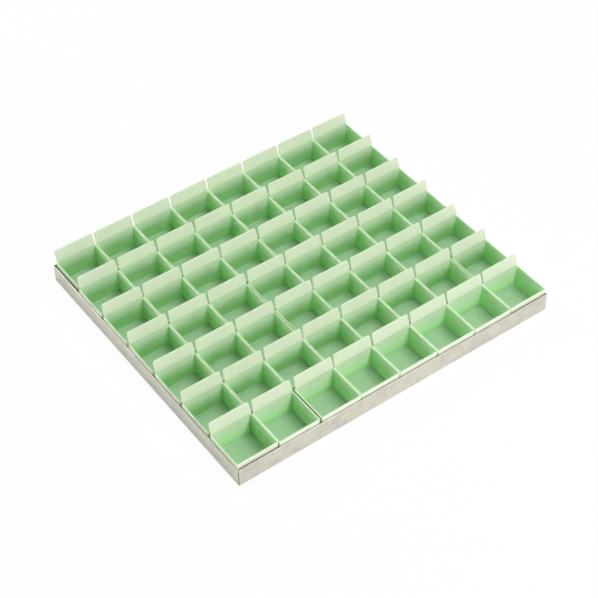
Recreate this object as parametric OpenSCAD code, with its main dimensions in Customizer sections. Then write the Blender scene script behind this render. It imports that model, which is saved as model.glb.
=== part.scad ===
// Medication dispensing tray: a shallow folded sheet-metal tray that holds rows of loose
// open-topped moulded boxes, each with a label plate that rises from its rear wall.
// Millimetres, +Z up. X runs along a row from left to right, Y from the front row to the back row.
// The origin is the centre of the tray's underside.

/* [Dose boxes] */
// Boxes along one row
cols = 8; // [4:1:8]
// Rows from front to back
rows = 7; // [3:1:7]
// Width of a box across its rim
box_w = 57; // [40:0.1:80]
// Depth of a box across its rim, front to rear
box_d = 54; // [40:0.1:80]
// Height of a box from its underside to its rim
box_h = 32; // [28:0.5:60]
// Thickness of the box walls at the rim
box_wall = 1.6; // [1:0.1:2.5]
// Thickness of the box floor
box_floor = 1.8; // [1:0.1:4]
// How far each wall leans in from the rim down to the foot
box_draft = 1; // [0.2:0.1:2]

/* [Label plates] */
// Height of the label plate above the rim
plate_rise = 17.5; // [8:0.5:30]
// How far the plate's top reaches back past the box's rear wall
plate_lean = 3.9; // [2:0.1:8]
// Thickness of the plate at its top edge
plate_t = 1.2; // [0.8:0.1:2]
// Height above the rim at which the plate starts to lean
plate_kink = 3.2; // [0.5:0.1:4]
// How much narrower than the box the plate is at its foot, on each side
plate_inset = 1; // [0.1:0.1:2]
// How much further the plate narrows up to its top, on each side
plate_taper = 0.6; // [0:0.1:3]
// Radius of the plate's two top corners
plate_corner = 2.2; // [1:0.1:4]

/* [Tray] */
// Height of the tray wall
tray_h = 27; // [12:0.5:30]
// Thickness of the sheet metal
sheet_t = 0.8; // [0.6:0.1:1.5]
// Inside radius of the folds between floor and walls
fold_r = 0.8; // [0.3:0.1:1.2]
// Width of the open seam between two walls at a corner
corner_gap = 0.4; // [0.1:0.1:1.5]
// Free room along a row of boxes, all its gaps together
side_slack = 3.2; // [2.8:0.1:12]
// Free room between the front wall and the front row
front_room = 2.4; // [1.6:0.1:6]
// Free room between the back row and the back wall
back_room = 4.2; // [1:0.1:8]
// Clearance a box has as it passes the label plate in front of it
lift_clear = 0.35; // [0.2:0.05:2]

/* [Hidden] */
// The widest gap of each row, back row first, and how many of its boxes stand to the left of it
wide_gap = [1.9, 0.9, 0.6, 1.1, 1.2, 1.2, 2.2];
left_count = [0, 8, 4, 3, 3, 7, 2];
// How far the front boxes of each column, left column first, stand forward, and how many of them do
front_step = [0, 1.2, 1.2, 0.6, 0.6, 0.8, 0.8, 0.1];
front_count = [1, 3, 3, 1, 1, 1, 1, 1];

// Places of the boxes
row_pitch = box_d + plate_lean + lift_clear;
inner_w = cols * box_w + side_slack;
inner_d = front_room + rows * box_d + (rows - 1) * (row_pitch - box_d) + back_room;
tray_w = inner_w + 2 * sheet_t;
tray_d = inner_d + 2 * sheet_t;
// Reach of a fold from the outside of the wall, and from the underside of the floor
fold_zone = fold_r + sheet_t;

// Colours
steel = [0.78, 0.77, 0.74];
mint = [0.79, 0.9, 0.74];

$fn = 48;
// Overlap that keeps a cut from ending flush with a face
cut = 1;

function box_name(row, col) = str("dose_box_r", row, "_c", col);

// Centre of a box along its row: the row's other gaps share what its widest gap leaves
function box_x(row, col) =
    let (wide = wide_gap[row - 1])
    let (gap = (side_slack - wide) / cols)
    let (start = left_count[row - 1] < col ? wide : gap)
    -inner_w / 2 + start + (col - 1) * (box_w + gap) + box_w / 2;

// Centre of a box from front to back: row 1 is the back row
function box_y(row, col) =
    let (step = row > rows - front_count[col - 1] ? front_step[col - 1] : 0)
    inner_d / 2 - back_room - box_d / 2 - (row - 1) * row_pitch - step;

// A prism along X whose outline is given in Y and Z
module along_x(length) {
    rotate([90, 0, 90])
        linear_extrude(height = length, center = true)
            children();
}

// A prism along Y whose outline is given in X and Z
module along_y(length) {
    rotate([90, 0, 0])
        linear_extrude(height = length, center = true)
            children();
}

// Upright trapezium from z0 to z1, with its two widths
module taper_outline(w0, w1, z0, z1) {
    polygon([[-w0 / 2, z0], [w0 / 2, z0], [w1 / 2, z1], [-w1 / 2, z1]]);
}

// A block with four leaning sides, open to be cut or kept
module tapered_block(foot, rim, z0, z1) {
    intersection() {
        along_x(rim[0] + foot[0])
            taper_outline(foot[1], rim[1], z0, z1);
        along_y(rim[1] + foot[1])
            taper_outline(foot[0], rim[0], z0, z1);
    }
}

module box_outside() {
    rim = [box_w, box_d];
    foot = rim - 2 * [box_draft, box_draft];
    tapered_block(foot, rim, 0, box_h);
}

// The hollow keeps the walls' lean and runs past the rim
module box_hollow() {
    slope = box_draft / box_h;
    inside = [box_w, box_d] - 2 * [box_wall, box_wall];
    at_floor = inside - 2 * slope * (box_h - box_floor) * [1, 1];
    at_top = inside + 2 * slope * cut * [1, 1];
    tapered_block(at_floor, at_top, box_floor, box_h + cut);
}

// Side view of the plate: upright on the rear wall, then leaning back to its top edge
module plate_side() {
    front = box_d / 2 - box_wall;
    rear = box_d / 2;
    top = box_h + plate_rise;
    kink = box_h + plate_kink;
    polygon([
        [front, box_h],
        [front, kink],
        [rear + plate_lean - plate_t, top],
        [rear + plate_lean, top],
        [rear, kink],
        [rear, box_h]
    ]);
}

// Front view of the plate: a little narrower at its top, with rounded top corners
module plate_front() {
    top = box_h + plate_rise;
    shoulder = top - plate_corner;
    foot_w = box_w - 2 * plate_inset;
    top_w = foot_w - 2 * plate_taper;
    taper_outline(foot_w, top_w, box_h, shoulder);
    translate([-top_w / 2 + plate_corner, shoulder])
        square([top_w - 2 * plate_corner, plate_corner]);
    intersection() {
        for (side = [-1, 1])
            translate([side * (top_w / 2 - plate_corner), shoulder])
                circle(r = plate_corner);
        translate([-top_w / 2, shoulder])
            square([top_w, plate_corner]);
    }
}

module label_plate() {
    intersection() {
        along_x(box_w)
            plate_side();
        along_y(2 * (box_d + plate_lean))
            plate_front();
    }
}

module dose_box(row, col) {
    color(mint)
        translate([box_x(row, col), box_y(row, col), sheet_t]) {
            difference() {
                box_outside();
                box_hollow();
            }
            label_plate();
        }
}

// The fold between the floor and one wall, with the wall's outside at 0
module fold_section() {
    intersection() {
        square([fold_zone, fold_zone]);
        translate([fold_zone, fold_zone])
            difference() {
                circle(r = fold_zone);
                circle(r = fold_r);
            }
    }
}

// One folded wall: its ends stop short of the corner, which leaves the corner seam open
module tray_wall(length, across) {
    wall_l = length - 2 * (sheet_t + corner_gap);
    translate([0, -across / 2, 0]) {
        along_x(length - 2 * fold_zone)
            fold_section();
        translate([-wall_l / 2, 0, fold_zone])
            cube([wall_l, sheet_t, tray_h - fold_zone]);
    }
}

module tray_pan() {
    color(steel) {
        translate([fold_zone - tray_w / 2, fold_zone - tray_d / 2, 0])
            cube([tray_w - 2 * fold_zone, tray_d - 2 * fold_zone, sheet_t]);
        for (turn = [0, 180])
            rotate([0, 0, turn])
                tray_wall(tray_w, tray_d);
        for (turn = [90, 270])
            rotate([0, 0, turn])
                tray_wall(tray_d, tray_w);
    }
}

tray_pan();
for (row = [1 : rows])
    for (col = [1 : cols])
        dose_box(row, col);
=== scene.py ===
import math

import bmesh
import bpy
from mathutils import Matrix, Quaternion, Vector


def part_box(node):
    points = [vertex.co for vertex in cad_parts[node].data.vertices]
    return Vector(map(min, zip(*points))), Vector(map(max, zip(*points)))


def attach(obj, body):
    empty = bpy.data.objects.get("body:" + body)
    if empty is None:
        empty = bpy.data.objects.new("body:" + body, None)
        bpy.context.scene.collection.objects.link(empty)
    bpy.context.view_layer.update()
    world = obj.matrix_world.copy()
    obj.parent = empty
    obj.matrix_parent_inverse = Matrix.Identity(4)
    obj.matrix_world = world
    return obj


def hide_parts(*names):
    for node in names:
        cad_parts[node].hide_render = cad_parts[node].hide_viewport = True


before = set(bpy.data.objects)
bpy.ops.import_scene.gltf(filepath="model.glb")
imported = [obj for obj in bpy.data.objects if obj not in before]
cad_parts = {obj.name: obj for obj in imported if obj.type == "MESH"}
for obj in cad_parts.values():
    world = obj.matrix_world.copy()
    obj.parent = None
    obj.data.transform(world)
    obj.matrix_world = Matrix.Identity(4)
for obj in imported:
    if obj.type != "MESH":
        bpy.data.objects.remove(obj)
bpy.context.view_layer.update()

bl_info = {
    "name": "Medication dispensing tray",
    "version": (1, 0, 0),
    "blender": (4, 5, 0),
    "location": "View3D > Sidebar > Dispensing Tray",
    "description": "Makes a folded steel tray and its loose dose boxes, and sets them in a studio",
    "category": "Object",
}

PAN_NODE = "tray_pan"
PAN_BODY = "tray"
BOX_PREFIX = "dose_box_"

# The CAD model's box, and the box of one dose box, which all the others repeat
PAN_LOW, PAN_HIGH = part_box(PAN_NODE)
BOX_NODES = sorted(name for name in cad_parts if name.startswith(BOX_PREFIX))
BOX_LOW, BOX_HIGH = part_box(BOX_NODES[0])

MM = 0.001
# How close two places may lie and still count as one
SAME_PLACE = 0.01 * MM
# Faces that meet at less than this angle are shaded as one surface
SMOOTH_BELOW = math.radians(40)

# Repeats per metre of the plastic's soft clouds and its fine moulded grain
PLASTIC_CLOUDS = 38.0
PLASTIC_GRAIN = 2600.0
# How far below the plate's kink the painted shade inside the box is full, and where the plate's
# pale mint ends
INSIDE_SHADE_BELOW = 3.2 * MM
PALE_ABOVE = 0.6 * MM
# How much of the painted corner shade a side wall has taken on where it meets the rear wall
CORNER_SHADE_SHARE = 0.55
# Part of a face's normal along an axis at which it starts to count as facing that way,
# and at which it fully does
FACING = (0.55, 0.85)
# Repeats per metre of the steel's streaks and scratches over the flat sheet,
# and of its smudges
STEEL_STREAKS = (14.0, 1500.0, 1.0)
STEEL_SCRATCHES = (40.0, 5200.0, 1.0)
STEEL_SMUDGES = 60.0

# The studio floor: its width, how far under the tray it lies, and how white it reads
# straight from the camera and mirrored in gloss
FLOOR_WIDTH = 14.0
FLOOR_DROP = 0.05 * MM
FLOOR_SEEN = 0.95
FLOOR_MIRRORED = 0.37
# Width of the camera's sensor in millimetres
SENSOR_WIDTH = 36.0
# The soft lamps: how far off they stand, and each one's name, azimuth and elevation in
# degrees, width, level and colour
LAMP_DISTANCE = 2.4
LAMPS = (
    ("front_softbox", 7, 28, 0.6, 0.475, (1.02, 0.98, 1.02)),
    ("front_fill", 0, 4, 1.0, 0.14, (1.0, 1.0, 1.0)),
    ("back_softbox", -165, 38, 1.4, 0.48, (1.0, 1.0, 1.0)),
    ("top_softbox", 80, 70, 1.4, 0.48, (0.97, 1.04, 0.96)),
    ("left_softbox", -90, 2, 1.0, 0.30, (0.95, 0.99, 1.06)),
)


# Sizes and colours that a user would change


class TrayPanSettings(bpy.types.PropertyGroup):
    """Sizes and finish of the folded tray"""

    sheet: bpy.props.FloatProperty(
        name="Sheet thickness",
        description="Thickness of the steel sheet",
        default=0.8 * MM,
        unit="LENGTH",
    )
    fold_radius: bpy.props.FloatProperty(
        name="Fold radius",
        description="Inside radius of the folds between floor and walls",
        default=0.8 * MM,
        unit="LENGTH",
    )
    corner_gap: bpy.props.FloatProperty(
        name="Corner seam",
        description="Width of the open seam between two walls at a corner",
        default=0.4 * MM,
        unit="LENGTH",
    )
    edge_round: bpy.props.FloatProperty(
        name="Edge rounding",
        description="How far the sheet's cut edges are broken",
        default=0.16 * MM,
        unit="LENGTH",
    )
    steel_colour: bpy.props.FloatVectorProperty(
        name="Steel",
        description="Colour of the bare steel",
        default=(0.705, 0.687, 0.583),
        subtype="COLOR",
    )
    smudge_colour: bpy.props.FloatVectorProperty(
        name="Handled steel",
        description="Colour of the steel where it is dull from handling",
        default=(0.51, 0.497, 0.449),
        subtype="COLOR",
    )


class DoseBoxSettings(bpy.types.PropertyGroup):
    """Sizes and finish of one moulded dose box"""

    depth: bpy.props.FloatProperty(
        name="Depth",
        description="Depth of the box across its rim, front to rear",
        default=54 * MM,
        unit="LENGTH",
    )
    rim_height: bpy.props.FloatProperty(
        name="Rim height",
        description="Height of the rim above the box's underside",
        default=32 * MM,
        unit="LENGTH",
    )
    wall: bpy.props.FloatProperty(
        name="Wall thickness",
        description="Thickness of the four walls at the rim",
        default=1.6 * MM,
        unit="LENGTH",
    )
    floor: bpy.props.FloatProperty(
        name="Floor thickness",
        description="Thickness of the box's floor",
        default=1.8 * MM,
        unit="LENGTH",
    )
    draft: bpy.props.FloatProperty(
        name="Draft",
        description="How far each wall leans in from the rim down to the foot",
        default=1.0 * MM,
        unit="LENGTH",
    )
    plate_kink: bpy.props.FloatProperty(
        name="Plate kink",
        description="Height above the rim at which the label plate starts to lean",
        default=3.2 * MM,
        unit="LENGTH",
    )
    plate_thickness: bpy.props.FloatProperty(
        name="Plate thickness",
        description="Thickness of the label plate at its top edge",
        default=1.2 * MM,
        unit="LENGTH",
    )
    plate_inset: bpy.props.FloatProperty(
        name="Plate inset",
        description="How much narrower than the box the plate is at its foot, on each side",
        default=1.0 * MM,
        unit="LENGTH",
    )
    plate_taper: bpy.props.FloatProperty(
        name="Plate taper",
        description="How much further the plate narrows up to its top, on each side",
        default=0.6 * MM,
        unit="LENGTH",
    )
    plate_corner: bpy.props.FloatProperty(
        name="Plate corner radius",
        description="Radius of the plate's two top corners",
        default=2.2 * MM,
        unit="LENGTH",
    )
    round_inside: bpy.props.FloatProperty(
        name="Inside rounding",
        description="Radius of the corners inside the box",
        default=1.1 * MM,
        unit="LENGTH",
    )
    round_outside: bpy.props.FloatProperty(
        name="Outside rounding",
        description="Radius of the upright edges at the front and the foot of the box",
        default=1.5 * MM,
        unit="LENGTH",
    )
    round_rear: bpy.props.FloatProperty(
        name="Rear rounding",
        description="Radius of the two upright edges at the rear, beside the plate",
        default=0.75 * MM,
        unit="LENGTH",
    )
    round_rim: bpy.props.FloatProperty(
        name="Rim rounding",
        description="Radius of the rim's edges and the plate's edges",
        default=0.2 * MM,
        unit="LENGTH",
    )
    round_bend: bpy.props.FloatProperty(
        name="Bend rounding",
        description="How far the plate's bend reaches up and down from its kink",
        default=0.6 * MM,
        unit="LENGTH",
    )
    round_foot: bpy.props.FloatProperty(
        name="Plate foot rounding",
        description="Radius with which the side rims run up into the plate",
        default=1.0 * MM,
        unit="LENGTH",
    )
    pale_colour: bpy.props.FloatVectorProperty(
        name="Pale mint",
        description="Colour of the plastic at the rim and the plate",
        default=(0.79, 0.88, 0.675),
        subtype="COLOR",
    )
    # Painted light: the outside of the front wall is brighter than the plate
    front_light_colour: bpy.props.FloatVectorProperty(
        name="Front mint",
        description="Colour of the outside of the front wall",
        default=(0.94, 0.99, 0.84),
        subtype="COLOR",
    )
    # Painted shade: the front and rear walls inside the box are darker than the plate
    wall_shade_colour: bpy.props.FloatVectorProperty(
        name="Wall mint",
        description="Colour of the front and rear walls inside the box, just below the rim",
        default=(0.65, 0.81, 0.585),
        subtype="COLOR",
    )
    # Painted shade: the walls inside the box deepen to this low down, and the outsides of the box
    # take it on low down
    deep_shade_colour: bpy.props.FloatVectorProperty(
        name="Deep mint",
        description="Colour of the front and rear walls low down inside the box",
        default=(0.475, 0.81, 0.40),
        subtype="COLOR",
    )
    # Painted light: the inner side walls are a brighter green than the front and rear walls
    side_light_colour: bpy.props.FloatVectorProperty(
        name="Side mint",
        description="Colour of the two side walls inside the box, just below the rim",
        default=(0.75, 0.99, 0.67),
        subtype="COLOR",
    )
    # Painted light and shade: the brighter green of the inner side walls deepens to this low down
    side_deep_shade_colour: bpy.props.FloatVectorProperty(
        name="Deep side mint",
        description="Colour of the two side walls low down inside the box",
        default=(0.62, 0.99, 0.52),
        subtype="COLOR",
    )
    # Painted shade: the inner side walls take on this deep green towards the rear corners
    corner_shade_colour: bpy.props.FloatVectorProperty(
        name="Corner mint",
        description="Colour that the two side walls inside the box take on towards the rear wall",
        default=(0.40, 0.99, 0.32),
        subtype="COLOR",
    )
    rim_colour: bpy.props.FloatVectorProperty(
        name="Rim mint",
        description="Colour of the narrow top of the rim",
        default=(0.70, 0.90, 0.595),
        subtype="COLOR",
    )
    # Painted shade: the floor of the box is darker and duller than its walls
    floor_colour: bpy.props.FloatVectorProperty(
        name="Floor mint",
        description="Colour of the plastic on the floor of the box",
        default=(0.50, 0.71, 0.49),
        subtype="COLOR",
    )


class StageSettings(bpy.types.PropertyGroup):
    """Studio floor, lamps and camera"""

    floor_colour: bpy.props.FloatVectorProperty(
        name="Floor",
        description="Colour of the studio floor",
        default=(0.92, 0.92, 0.92),
        subtype="COLOR",
    )
    surround: bpy.props.FloatProperty(
        name="Surround light",
        description="Strength of the even light from all around",
        default=0.02,
    )
    aim: bpy.props.FloatVectorProperty(
        name="Aim",
        description="Point that the camera looks at",
        default=(-21.91 * MM, -34.20 * MM, 33.0 * MM),
        subtype="XYZ",
    )
    distance: bpy.props.FloatProperty(
        name="Distance",
        description="How far the camera stands from the point that it looks at",
        default=1895.7 * MM,
        unit="LENGTH",
    )
    azimuth: bpy.props.FloatProperty(
        name="Azimuth",
        description="How far round the tray the camera stands, from straight in front",
        default=math.radians(-34.978),
        subtype="ANGLE",
    )
    elevation: bpy.props.FloatProperty(
        name="Elevation",
        description="How far above the horizon the camera stands",
        default=math.radians(45.267),
        subtype="ANGLE",
    )
    roll: bpy.props.FloatProperty(
        name="Roll",
        description="How far the camera is turned about its own line of sight",
        default=math.radians(-1.481),
        subtype="ANGLE",
    )
    lens: bpy.props.FloatProperty(
        name="Lens",
        description="Focal length in millimetres on a sensor 36 mm wide",
        default=93.469,
    )


# Shader sums


class Wire:
    """A socket in a material's node tree; sums written with wires add Math nodes to the tree."""

    def __init__(self, tree, socket=None):
        self.tree = tree
        self.socket = socket

    def add(self, kind, settings=None, inputs=None, output=0):
        """Adds a node, sets its settings, then its sockets, and gives back one of its outputs."""
        node = self.tree.nodes.new(kind)
        for name, value in (settings or {}).items():
            setattr(node, name, value)
        for name, value in (inputs or {}).items():
            if isinstance(value, Wire):
                self.tree.links.new(value.socket, node.inputs[name])
            else:
                node.inputs[name].default_value = value
        return Wire(self.tree, node.outputs[output])

    def math(self, operation, *values):
        return self.add("ShaderNodeMath", {"operation": operation}, dict(enumerate(values)))

    def __add__(self, other):
        return self.math("ADD", self, other)

    __radd__ = __add__

    def __sub__(self, other):
        return self.math("SUBTRACT", self, other)

    def __rsub__(self, other):
        return self.math("SUBTRACT", other, self)

    def __mul__(self, other):
        return self.math("MULTIPLY", self, other)

    __rmul__ = __mul__

    def step(self, start, end):
        """Zero before start and one after end, with a soft rise between them."""
        return self.add(
            "ShaderNodeMapRange",
            {"interpolation_type": "SMOOTHSTEP"},
            {"Value": self, "From Min": start, "From Max": end},
        )

    def within(self, limit, soft=0.1 * MM):
        """One between minus and plus a limit, and zero outside it."""
        return 1 - self.math("ABSOLUTE", self).step(limit - soft, limit + soft)

    def parts(self):
        """The three parts of a vector."""
        split = self.add("ShaderNodeSeparateXYZ", None, {0: self})
        return [Wire(self.tree, out) for out in split.socket.node.outputs]

    def scaled(self, scale):
        """A vector with each of its parts times its own number."""
        return self.add("ShaderNodeVectorMath", {"operation": "MULTIPLY"}, {0: self, 1: scale})

    def noise(self, scale, detail=2.0, roughness=0.5):
        """Soft noise over this vector, from about 0.2 to 0.8."""
        return self.add(
            "ShaderNodeTexNoise",
            None,
            {"Vector": self, "Scale": scale, "Detail": detail, "Roughness": roughness},
        )

    def blend(self, first, second):
        """Goes from the first colour to the second as this value goes from zero to one."""
        return self.add(
            "ShaderNodeMix",
            {"data_type": "RGBA", "clamp_factor": True},
            {0: self, 6: first, 7: second},
            output=2,
        )

    def bump(self, strength, distance):
        """A normal that follows this value as a height."""
        return self.add(
            "ShaderNodeBump",
            None,
            {"Height": self, "Strength": strength, "Distance": distance},
        )


def opaque(colour):
    return (*colour, 1.0)


def new_material(name):
    """A material with its surface shader, and a wire to build its pattern from."""
    material = bpy.data.materials.new(name)
    material.use_nodes = True
    shader = material.node_tree.nodes["Principled BSDF"]
    return material, shader, Wire(material.node_tree)


def feed(shader, **sockets):
    """Links wires to the shader's sockets, and sets the values that are the same all over."""
    for name, value in sockets.items():
        target = shader.inputs[name.replace("_", " ")]
        if isinstance(value, Wire):
            value.tree.links.new(value.socket, target)
        else:
            target.default_value = value


# Finishes


def mint_plastic(box):
    """Satin moulded plastic, pale at the rim and the plate; painted shade makes it darker and
    greener inside the box, on its floor, towards its rear corners and low on its outsides, and
    painted light brightens its inner side walls and the outside of its front.
    """
    material, shader, start = new_material("mint_plastic")
    spot = start.add("ShaderNodeTexCoord", output="Object")
    place = start.add("ShaderNodeAttribute", {"attribute_name": "box_place"}, output="Vector")
    across, along, height = place.parts()
    sideways, frontal, upward = start.add("ShaderNodeTexCoord", output="Normal").parts()
    mid_wall = (box.wall + box.draft) / 2
    half_width = (BOX_HIGH.x - BOX_LOW.x) / 2
    lip = box.rim_height + box.plate_kink
    slope = (BOX_HIGH.y - BOX_LOW.y - box.depth) / (BOX_HIGH.z - BOX_LOW.z - lip)
    above_lip = start.math("MAXIMUM", height - lip, 0.0)
    upright = along - above_lip * slope
    inside = across.within(half_width - mid_wall) * upright.within(box.depth / 2 - mid_wall)
    hollow = inside * height.step(0.4 * box.floor, 0.6 * box.floor)
    cloud = spot.noise(PLASTIC_CLOUDS, detail=3.0)
    grain = spot.noise(PLASTIC_GRAIN, detail=1.0)
    drift = (cloud - 0.5) * 0.1
    # Painted shade: below the plate's kink the inside of the box takes the darker greens of its
    # walls and floor
    inside_shade = hollow * (1 - height.step(lip - INSIDE_SHADE_BELOW, lip - PALE_ABOVE))
    # Painted shade: the walls inside the box deepen towards the floor
    depth_shade = 1 - height.step(0.15 * box.rim_height, 0.95 * box.rim_height)
    # Painted shade: the outsides of the box turn deep green low down, where it stands close to the
    # tray and its neighbours
    gap_shade = (1 - hollow) * (1 - height.step(0.3 * box.rim_height, 0.86 * box.rim_height))
    # Painted shade: the floor of the box takes its darker floor green
    floor_shade = 1 - height.step(box.floor + 0.2 * MM, box.floor + box.round_inside)
    on_side = start.math("ABSOLUTE", sideways).step(*FACING)
    below_rim = 1 - height.step(box.rim_height, box.rim_height + 0.5 * MM)
    # Painted light: the outside of the front wall below the rim takes a brighter mint
    front_light = (1 - hollow) * below_rim * (0 - frontal).step(*FACING)
    on_rim = upward.step(0.5, 0.9) * (height - box.rim_height).within(0.4 * MM)
    # Painted shade: the front and rear walls inside go from a darker green under the rim to the
    # deep green low down
    end_wall_shade = (depth_shade + drift).blend(opaque(box.wall_shade_colour), opaque(box.deep_shade_colour))
    # Painted light and shade: the inner side walls are a brighter green that deepens towards the
    # floor
    side_wall_light = (depth_shade + drift).blend(opaque(box.side_light_colour), opaque(box.side_deep_shade_colour))
    # Painted shade: the inner side walls deepen in colour towards the rear corners
    rear_corner_shade = along.step(0.0, box.depth / 2 - box.wall)
    shaded_flank = (rear_corner_shade * CORNER_SHADE_SHARE).blend(side_wall_light, opaque(box.corner_shade_colour))
    inner = floor_shade.blend(on_side.blend(end_wall_shade, shaded_flank), opaque(box.floor_colour))
    outer = front_light.blend(opaque(box.pale_colour), opaque(box.front_light_colour))
    lit = (inside_shade + drift * 0.3).blend(outer, inner)
    rimmed = on_rim.blend(lit, opaque(box.rim_colour))
    colour = gap_shade.blend(rimmed, opaque(box.deep_shade_colour))
    gloss = 0.28 + (cloud - 0.5) * 0.12 + (grain - 0.5) * 0.06
    feed(
        shader,
        Base_Color=colour,
        Roughness=gloss,
        Normal=grain.bump(0.25, 0.02 * MM),
    )
    shader.inputs["IOR"].default_value = 1.49
    return material


def brushed_steel(pan):
    """Bare sheet steel with a fine brushed grain that runs one way over the flat sheet."""
    material, shader, start = new_material("brushed_steel")
    spot = start.add("ShaderNodeTexCoord", output="Object")
    flat = start.add("ShaderNodeAttribute", {"attribute_name": "unfolded"}, output="Vector")
    streak = flat.scaled(STEEL_STREAKS).noise(1.0, detail=4.0, roughness=0.6)
    scratch = flat.scaled(STEEL_SCRATCHES).noise(1.0, detail=2.0)
    cloud = spot.noise(STEEL_SMUDGES, detail=5.0, roughness=0.65)
    dull = cloud.step(0.36, 0.72) * 0.6 + (streak - 0.5) * 1.2
    colour = dull.blend(opaque(pan.steel_colour), opaque(pan.smudge_colour))
    gloss = 0.34 + (streak - 0.5) * 0.22 + (cloud - 0.5) * 0.12
    feed(
        shader,
        Base_Color=colour,
        Roughness=gloss,
        Normal=(streak * 0.6 + scratch * 0.4).bump(0.22, 0.02 * MM),
    )
    shader.inputs["Metallic"].default_value = 0.65
    return material


# Modelling helpers


def take(piece):
    """Makes one piece the only selected object."""
    bpy.ops.object.select_all(action="DESELECT")
    piece.select_set(True)
    bpy.context.view_layer.objects.active = piece


def open_mesh(piece, mode="FACE"):
    """Goes into edit mode on one piece with nothing selected."""
    take(piece)
    bpy.ops.object.mode_set(mode="EDIT")
    bpy.ops.mesh.select_mode(type=mode)
    bpy.ops.mesh.select_all(action="DESELECT")


def close_mesh():
    bpy.ops.object.mode_set(mode="OBJECT")


def pick_faces(piece, test):
    """Selects the faces whose middle and normal pass a test; it is an error to find none."""
    bpy.ops.mesh.select_mode(type="FACE")
    mesh = bmesh.from_edit_mesh(piece.data)
    found = 0
    for face in mesh.faces:
        chosen = bool(test(face.calc_center_median(), face.normal))
        face.select_set(chosen)
        found += chosen
    mesh.select_flush(True)
    bmesh.update_edit_mesh(piece.data)
    if not found:
        raise RuntimeError(f"no face of {piece.name} passes the test")


def pick_edges(piece, test):
    """Selects the edges that pass a test on their ends and the angle between their faces."""
    bpy.ops.mesh.select_mode(type="EDGE")
    mesh = bmesh.from_edit_mesh(piece.data)
    chosen = [
        edge
        for edge in mesh.edges
        if test(edge.verts[0].co, edge.verts[1].co, edge.calc_face_angle_signed(0.0))
    ]
    for edge in mesh.edges:
        edge.select_set(False)
    for edge in chosen:
        edge.select_set(True)
    bmesh.update_edit_mesh(piece.data)
    if not chosen:
        raise RuntimeError(f"no edge of {piece.name} passes the test")


def push(offset):
    """Extrudes what is selected along an offset."""
    bpy.ops.mesh.extrude_region_move(TRANSFORM_OT_translate={"value": offset})


def stretch(factors, centre):
    """Scales what is selected about a point."""
    bpy.ops.transform.resize(value=factors, center_override=centre)


def finish_with(piece, kind, name, **settings):
    """Adds a modifier to a piece and applies it."""
    take(piece)
    modifier = piece.modifiers.new(name, kind)
    for key, value in settings.items():
        setattr(modifier, key, value)
    bpy.ops.object.modifier_apply(modifier=name)


def near(a, b, slack=SAME_PLACE):
    return abs(a - b) < slack


def fixed(piece, body, nodes, material):
    """Gives a finished piece its material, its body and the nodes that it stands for."""
    piece.data.materials.clear()
    piece.data.materials.append(material)
    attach(piece, body)
    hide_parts(*nodes)


# The tray


def fold_wall(piece, side, pan, half_along, half_across, axis):
    """Folds one wall up from an edge of the floor: the fold, a relief at its ends, the wall."""
    along = 1 - axis
    zone = pan.fold_radius + pan.sheet
    floor_z = PAN_LOW.z
    across_at = side * (half_across - zone)

    def at_floor_edge(a, b, angle):
        return near(a[axis], across_at) and near(b[axis], across_at)

    pick_edges(piece, at_floor_edge)
    centre = Vector((0, 0, floor_z + zone))
    centre[axis] = across_at
    spin_axis = Vector((0, 0, 0))
    spin_axis[along] = 1.0
    turn = -side if axis == 1 else side
    bpy.ops.mesh.spin(
        steps=6, angle=turn * math.radians(90), center=centre, axis=spin_axis, dupli=False
    )

    def at_wall_foot(a, b, angle):
        outer = near(a[axis], side * half_across) and near(b[axis], side * half_across)
        return outer and near(a.z, floor_z + zone) and near(b.z, floor_z + zone)

    pick_edges(piece, at_wall_foot)
    widen = zone - pan.sheet - pan.corner_gap
    push((0, 0, widen))
    factors = [1.0, 1.0, 1.0]
    factors[along] = (half_along - pan.sheet - pan.corner_gap) / (half_along - zone)
    stretch(factors, (0, 0, 0))
    push((0, 0, PAN_HIGH.z - floor_z - zone - widen))


def unfold(piece, half):
    """Stores where each point of the folded sheet lay on the flat sheet, for the brushed grain."""
    flat = piece.data.attributes.new("unfolded", "FLOAT_VECTOR", "POINT")
    for vertex, place in zip(piece.data.vertices, flat.data):
        x, y, z = vertex.co
        over_x = abs(x) - half.x
        over_y = abs(y) - half.y
        if over_x > over_y:
            place.vector = (x + math.copysign(z, x), y, 0.0)
        else:
            place.vector = (x, y + math.copysign(z, y), 0.0)


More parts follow.
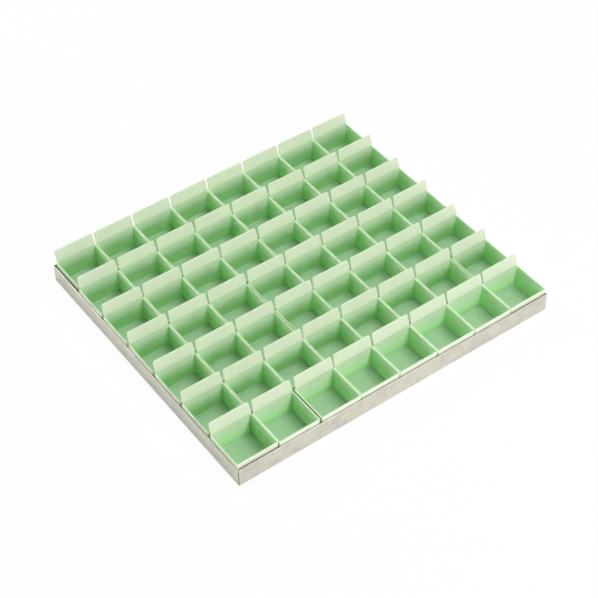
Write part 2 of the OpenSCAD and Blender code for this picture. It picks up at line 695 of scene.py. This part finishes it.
class DISPENSING_TRAY_OT_fold_pan(bpy.types.Operator):
    """Folds the shallow steel tray from one sheet, with an open seam at each corner"""

    bl_idname = "dispensing_tray.fold_pan"
    bl_label = "Fold the Tray"

    def execute(self, context):
        pan = context.scene.tray_pan
        half = (PAN_HIGH - PAN_LOW) / 2
        zone = pan.fold_radius + pan.sheet
        bpy.ops.object.select_all(action="DESELECT")
        bpy.ops.mesh.primitive_plane_add(size=2, location=(0, 0, PAN_LOW.z))
        piece = context.active_object
        piece.name = "folded_tray"
        piece.scale = (half.x - zone, half.y - zone, 1)
        bpy.ops.object.transform_apply(location=True, rotation=True, scale=True)
        open_mesh(piece, "EDGE")
        for side in (-1, 1):
            fold_wall(piece, side, pan, half.x, half.y, axis=1)
            fold_wall(piece, side, pan, half.y, half.x, axis=0)
        bpy.ops.mesh.select_all(action="SELECT")
        bpy.ops.mesh.remove_doubles(threshold=0.005 * MM)
        bpy.ops.mesh.normals_make_consistent(inside=False)
        close_mesh()
        floor_face = min(piece.data.polygons, key=lambda face: face.center.length)
        if floor_face.normal.z > 0:
            open_mesh(piece)
            bpy.ops.mesh.select_all(action="SELECT")
            bpy.ops.mesh.flip_normals()
            close_mesh()
        finish_with(
            piece, "SOLIDIFY", "sheet", thickness=pan.sheet, offset=-1.0, use_even_offset=True
        )
        finish_with(
            piece,
            "BEVEL",
            "broken_edges",
            width=pan.edge_round,
            segments=2,
            limit_method="ANGLE",
            angle_limit=math.radians(50),
        )
        take(piece)
        bpy.ops.object.shade_smooth_by_angle(angle=SMOOTH_BELOW)
        unfold(piece, half)
        fixed(piece, PAN_BODY, [PAN_NODE], brushed_steel(pan))
        return {"FINISHED"}


# The dose boxes


def block_out_box(box):
    """One dose box over the origin: a tapered block, its hollow, and the plate at its rear."""
    width = BOX_HIGH.x - BOX_LOW.x
    lean = BOX_HIGH.y - BOX_LOW.y - box.depth
    rise = BOX_HIGH.z - BOX_LOW.z - box.rim_height
    bpy.ops.object.select_all(action="DESELECT")
    bpy.ops.mesh.primitive_cube_add(size=1, location=(0, 0, box.rim_height / 2))
    piece = bpy.context.active_object
    piece.name = "dose_box"
    piece.scale = (width, box.depth, box.rim_height)
    bpy.ops.object.transform_apply(location=True, rotation=True, scale=True)
    open_mesh(piece)

    pick_faces(piece, lambda middle, normal: normal.z < -0.5)
    stretch((1 - 2 * box.draft / width, 1 - 2 * box.draft / box.depth, 1), (0, 0, 0))

    inner = Vector((width / 2 - box.wall, box.depth / 2 - box.wall))
    plate_half = width / 2 - box.plate_inset
    for axis, reach in ((0, inner.x), (0, plate_half), (1, inner.y)):
        for side in (-1, 1):
            cut = Vector((0, 0, 0))
            cut[axis] = side * reach
            across = Vector((0, 0, 0))
            across[axis] = 1.0
            bpy.ops.mesh.select_all(action="SELECT")
            bpy.ops.mesh.bisect(plane_co=cut, plane_no=across)

    def in_mouth(middle, normal):
        return normal.z > 0.5 and abs(middle.x) < inner.x and abs(middle.y) < inner.y

    pick_faces(piece, in_mouth)
    hollow = box.rim_height - box.floor
    push((0, 0, -hollow))
    lean_in = box.draft * hollow / box.rim_height
    stretch((1 - lean_in / inner.x, 1 - lean_in / inner.y, 1), (0, 0, 0))

    def under_plate(middle, normal):
        return normal.z > 0.5 and middle.y > inner.y and abs(middle.x) < plate_half

    pick_faces(piece, under_plate)
    push((0, 0, box.plate_kink))
    push((0, lean, rise - box.plate_kink))
    rear_edge = (0, box.depth / 2 + lean, 0)
    stretch((1 - box.plate_taper / plate_half, box.plate_thickness / box.wall, 1), rear_edge)

    bpy.ops.mesh.select_all(action="SELECT")
    bpy.ops.mesh.dissolve_limited(angle_limit=math.radians(0.3))

    top = box.rim_height + rise

    def plate_corner_edge(a, b, angle):
        return near(a.z, top) and near(b.z, top) and near(a.x, b.x)

    pick_edges(piece, plate_corner_edge)
    bpy.ops.mesh.bevel(offset=box.plate_corner, segments=6, affect="EDGES")
    return piece, inner


def round_box_edges(piece, box, inner):
    """Gives each kind of edge its own rounding, by weight, and applies them all at once."""
    widest = max(
        box.round_inside,
        box.round_outside,
        box.round_rear,
        box.round_rim,
        box.round_bend,
        box.round_foot,
    )
    rim = box.rim_height
    kink = rim + box.plate_kink
    sharp = math.radians(25)

    def on_rim(a, b):
        return near(a.z, rim) and near(b.z, rim)

    def above_rim(a, b):
        return max(a.z, b.z) > rim + 0.1 * MM

    def at_kink(a, b):
        return near(a.z, kink) and near(b.z, kink) and not near(a.x, b.x)

    def at_foot(a, b):
        beside_hollow = abs(a.x + b.x) > 2 * inner.x
        return on_rim(a, b) and near(a.y, inner.y) and near(b.y, inner.y) and beside_hollow

    def inside(a, b):
        reach_x, reach_y = inner.x + SAME_PLACE, inner.y + SAME_PLACE
        return all(abs(end.x) < reach_x and abs(end.y) < reach_y for end in (a, b))

    def below_rim(a, b):
        return not on_rim(a, b) and not above_rim(a, b)

    def outside(a, b):
        return below_rim(a, b) and not inside(a, b)

    def upright_at_rear(a, b):
        return min(a.y, b.y) > inner.y - box.draft and not near(a.z, b.z)

    kinds = [
        (box.round_inside, lambda a, b: below_rim(a, b) and inside(a, b)),
        (box.round_rim, lambda a, b: not below_rim(a, b) and not at_foot(a, b)),
        (box.round_foot, at_foot),
        (box.round_rear, lambda a, b: outside(a, b) and upright_at_rear(a, b)),
        (box.round_outside, lambda a, b: outside(a, b) and not upright_at_rear(a, b)),
    ]
    open_mesh(piece, "EDGE")
    for radius, belongs in kinds:
        pick_edges(piece, lambda a, b, angle: abs(angle) > sharp and belongs(a, b))
        bpy.ops.transform.edge_bevelweight(value=radius / widest)
    pick_edges(piece, lambda a, b, angle: at_kink(a, b))
    bpy.ops.transform.edge_bevelweight(value=box.round_bend / widest)
    close_mesh()
    finish_with(piece, "BEVEL", "moulded_edges", width=widest, segments=3, limit_method="WEIGHT")


def copy_to_place(master, node, material):
    """A copy of the finished box with its own mesh, moved in its mesh to where its node stands."""
    low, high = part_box(node)
    mesh = master.data.copy()
    depth_at_rim = bpy.context.scene.dose_box.depth
    mesh.transform(Matrix.Translation(((low.x + high.x) / 2, low.y + depth_at_rim / 2, low.z)))
    piece = bpy.data.objects.new(node.replace(BOX_PREFIX, "moulded_box_"), mesh)
    bpy.context.scene.collection.objects.link(piece)
    fixed(piece, node, [node], material)


class DISPENSING_TRAY_OT_mould_boxes(bpy.types.Operator):
    """Models one dose box and sets a copy of it in every place of the tray"""

    bl_idname = "dispensing_tray.mould_boxes"
    bl_label = "Mould the Dose Boxes"

    def execute(self, context):
        box = context.scene.dose_box
        master, inner = block_out_box(box)
        close_mesh()
        round_box_edges(master, box, inner)
        take(master)
        bpy.ops.object.shade_smooth_by_angle(angle=SMOOTH_BELOW)
        finish_with(master, "WEIGHTED_NORMAL", "even_shading", keep_sharp=True)
        place = master.data.attributes.new("box_place", "FLOAT_VECTOR", "POINT")
        for vertex, spot in zip(master.data.vertices, place.data):
            spot.vector = vertex.co
        material = mint_plastic(box)
        for node in BOX_NODES:
            copy_to_place(master, node, material)
        bpy.data.objects.remove(master)
        return {"FINISHED"}


# The stage


def studio_floor(stage):
    """A wide pale floor that reads as white, and still takes the tray's shadow."""
    bpy.ops.object.select_all(action="DESELECT")
    bpy.ops.mesh.primitive_plane_add(size=FLOOR_WIDTH, location=(0, 0, PAN_LOW.z - FLOOR_DROP))
    floor = bpy.context.active_object
    floor.name = "studio_floor"
    material, shader, start = new_material("studio_paper")
    tree = material.node_tree
    feed(shader, Base_Color=opaque(stage.floor_colour), Roughness=0.9)
    shader.inputs["Specular IOR Level"].default_value = 0.0
    white = start.add("ShaderNodeEmission", None, {"Color": (1, 1, 1, 1), "Strength": 1.0})
    seen = seen_rays(start, FLOOR_SEEN, FLOOR_MIRRORED)
    paper = Wire(tree, shader.outputs[0])
    mixed = start.add("ShaderNodeMixShader", None, {0: seen, 1: paper, 2: white})
    tree.links.new(mixed.socket, tree.nodes["Material Output"].inputs["Surface"])
    floor.data.materials.append(material)


def seen_rays(start, straight=1.0, mirrored=1.0):
    """How white the background reads, straight or through clear pieces, and mirrored in gloss."""
    rays = start.add("ShaderNodeLightPath").socket.node.outputs
    camera, glossy, through = (
        Wire(start.tree, rays[f"Is {kind} Ray"]) for kind in ("Camera", "Glossy", "Transmission")
    )
    return start.math("MAXIMUM", (camera + through) * straight, glossy * mirrored)


def surround(stage):
    """Even light from all around, which reads as white where it is seen."""
    world = bpy.data.worlds.new("studio_surround")
    bpy.context.scene.world = world
    world.use_nodes = True
    tree = world.node_tree
    start = Wire(tree)
    strength = stage.surround + seen_rays(start) * (1.0 - stage.surround)
    background = tree.nodes["Background"]
    background.inputs["Color"].default_value = (1, 1, 1, 1)
    tree.links.new(strength.socket, background.inputs["Strength"])


def direction(azimuth, elevation):
    """From the tray to something that stands round it; azimuth is zero straight in front."""
    level = math.cos(elevation)
    return Vector((math.sin(azimuth) * level, -math.cos(azimuth) * level, math.sin(elevation)))


def soft_lamp(name, azimuth, elevation, width, level, colour):
    """A square soft lamp; at a level of one, a surface that faces it shows its own colour."""
    lamp = bpy.data.lights.new(name, "AREA")
    lamp.shape = "SQUARE"
    lamp.size = width
    lamp.energy = level * (math.pi * LAMP_DISTANCE) ** 2
    lamp.color = colour
    holder = bpy.data.objects.new(name, lamp)
    bpy.context.scene.collection.objects.link(holder)
    back = direction(math.radians(azimuth), math.radians(elevation))
    holder.location = back * LAMP_DISTANCE
    holder.rotation_euler = (-back).to_track_quat("-Z", "Y").to_euler()


class DISPENSING_TRAY_OT_set_stage(bpy.types.Operator):
    """Sets the studio floor, the soft lamps and the camera"""

    bl_idname = "dispensing_tray.set_stage"
    bl_label = "Set the Stage"

    def execute(self, context):
        scene = context.scene
        stage = scene.tray_stage
        scene.view_settings.view_transform = "Standard"
        studio_floor(stage)
        surround(stage)
        for lamp in LAMPS:
            soft_lamp(*lamp)
        lens = bpy.data.cameras.new("photo_camera")
        lens.lens = stage.lens
        lens.sensor_width = SENSOR_WIDTH
        camera = bpy.data.objects.new("photo_camera", lens)
        scene.collection.objects.link(camera)
        back = direction(stage.azimuth, stage.elevation)
        level = (-back).to_track_quat("-Z", "Y")
        camera.location = Vector(stage.aim) + back * stage.distance
        camera.rotation_mode = "QUATERNION"
        camera.rotation_quaternion = level @ Quaternion((0, 0, 1), stage.roll)
        scene.camera = camera
        return {"FINISHED"}


class VIEW3D_PT_dispensing_tray(bpy.types.Panel):
    """Lists the tray's operators and the sizes and colours that they use"""

    bl_label = "Dispensing Tray"
    bl_space_type = "VIEW_3D"
    bl_region_type = "UI"
    bl_category = "Dispensing Tray"

    def draw(self, context):
        layout = self.layout
        groups = (
            (DISPENSING_TRAY_OT_fold_pan, context.scene.tray_pan),
            (DISPENSING_TRAY_OT_mould_boxes, context.scene.dose_box),
            (DISPENSING_TRAY_OT_set_stage, context.scene.tray_stage),
        )
        for operator, settings in groups:
            column = layout.box().column()
            column.operator(operator.bl_idname)
            for name in settings.__annotations__:
                column.prop(settings, name)


CLASSES = (
    TrayPanSettings,
    DoseBoxSettings,
    StageSettings,
    DISPENSING_TRAY_OT_fold_pan,
    DISPENSING_TRAY_OT_mould_boxes,
    DISPENSING_TRAY_OT_set_stage,
    VIEW3D_PT_dispensing_tray,
)


def register():
    for cls in CLASSES:
        bpy.utils.register_class(cls)
    bpy.types.Scene.tray_pan = bpy.props.PointerProperty(type=TrayPanSettings)
    bpy.types.Scene.dose_box = bpy.props.PointerProperty(type=DoseBoxSettings)
    bpy.types.Scene.tray_stage = bpy.props.PointerProperty(type=StageSettings)


def unregister():
    del bpy.types.Scene.tray_stage
    del bpy.types.Scene.dose_box
    del bpy.types.Scene.tray_pan
    for cls in reversed(CLASSES):
        bpy.utils.unregister_class(cls)


def main():
    register()
    bpy.ops.dispensing_tray.fold_pan()
    bpy.ops.dispensing_tray.mould_boxes()
    bpy.ops.dispensing_tray.set_stage()


if __name__ == "__main__":
    main()
